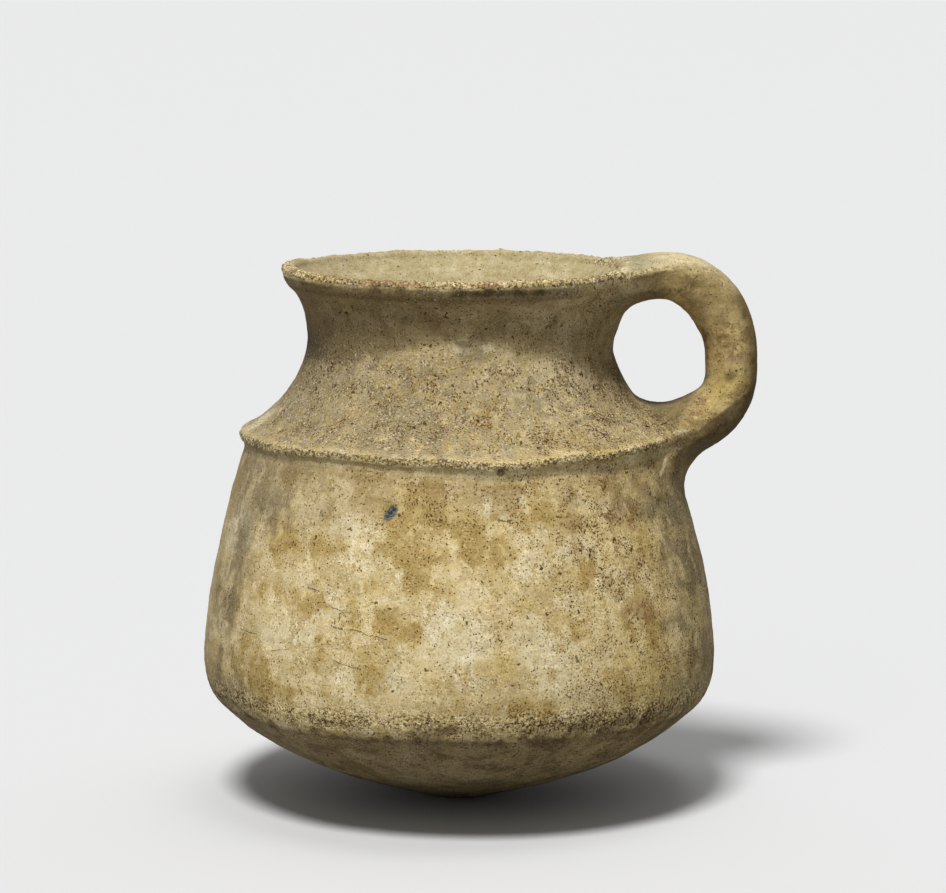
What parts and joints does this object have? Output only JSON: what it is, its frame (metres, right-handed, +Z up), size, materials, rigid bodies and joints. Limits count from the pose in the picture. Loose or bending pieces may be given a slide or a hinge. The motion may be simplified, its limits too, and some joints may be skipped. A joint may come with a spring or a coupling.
{
  "type": "ceramic pot",
  "caption": "Handled drinking pot in unglazed buff clay: dished base, angular belly, shoulder ridge, waisted neck, everted lip and a looped strap handle.",
  "frame": {"origin": "centre of the small flat that the pot rests on", "axes": "+Z up along the pot's turning axis; +X from the axis towards the handle, whose loop lies in the XZ plane; +Y completes a right-handed frame"},
  "size_m": [0.1101, 0.1024, 0.1093],
  "materials": {
    "base_clay": "matt unglazed clay, scraped and darkened by wear",
    "buff_clay": "matt unglazed buff clay with pores and pale brown stains",
    "grey_buff_clay": "matt unglazed clay, greyer than the wall",
    "worn_clay": "matt worn edge, paler and more porous than the wall",
    "handle_clay": "matt unglazed clay, yellower, hand-smoothed lengthwise"
  },
  "bodies": {
    "root": {"dished_base": "base_clay", "body_wall": "buff_clay", "shoulder_ridge": "worn_clay", "neck_collar": "grey_buff_clay", "rim_lip": "worn_clay", "handle_strap": "handle_clay", "rim_wad": "handle_clay", "ridge_wad": "handle_clay"}
  },
  "joints": []
}
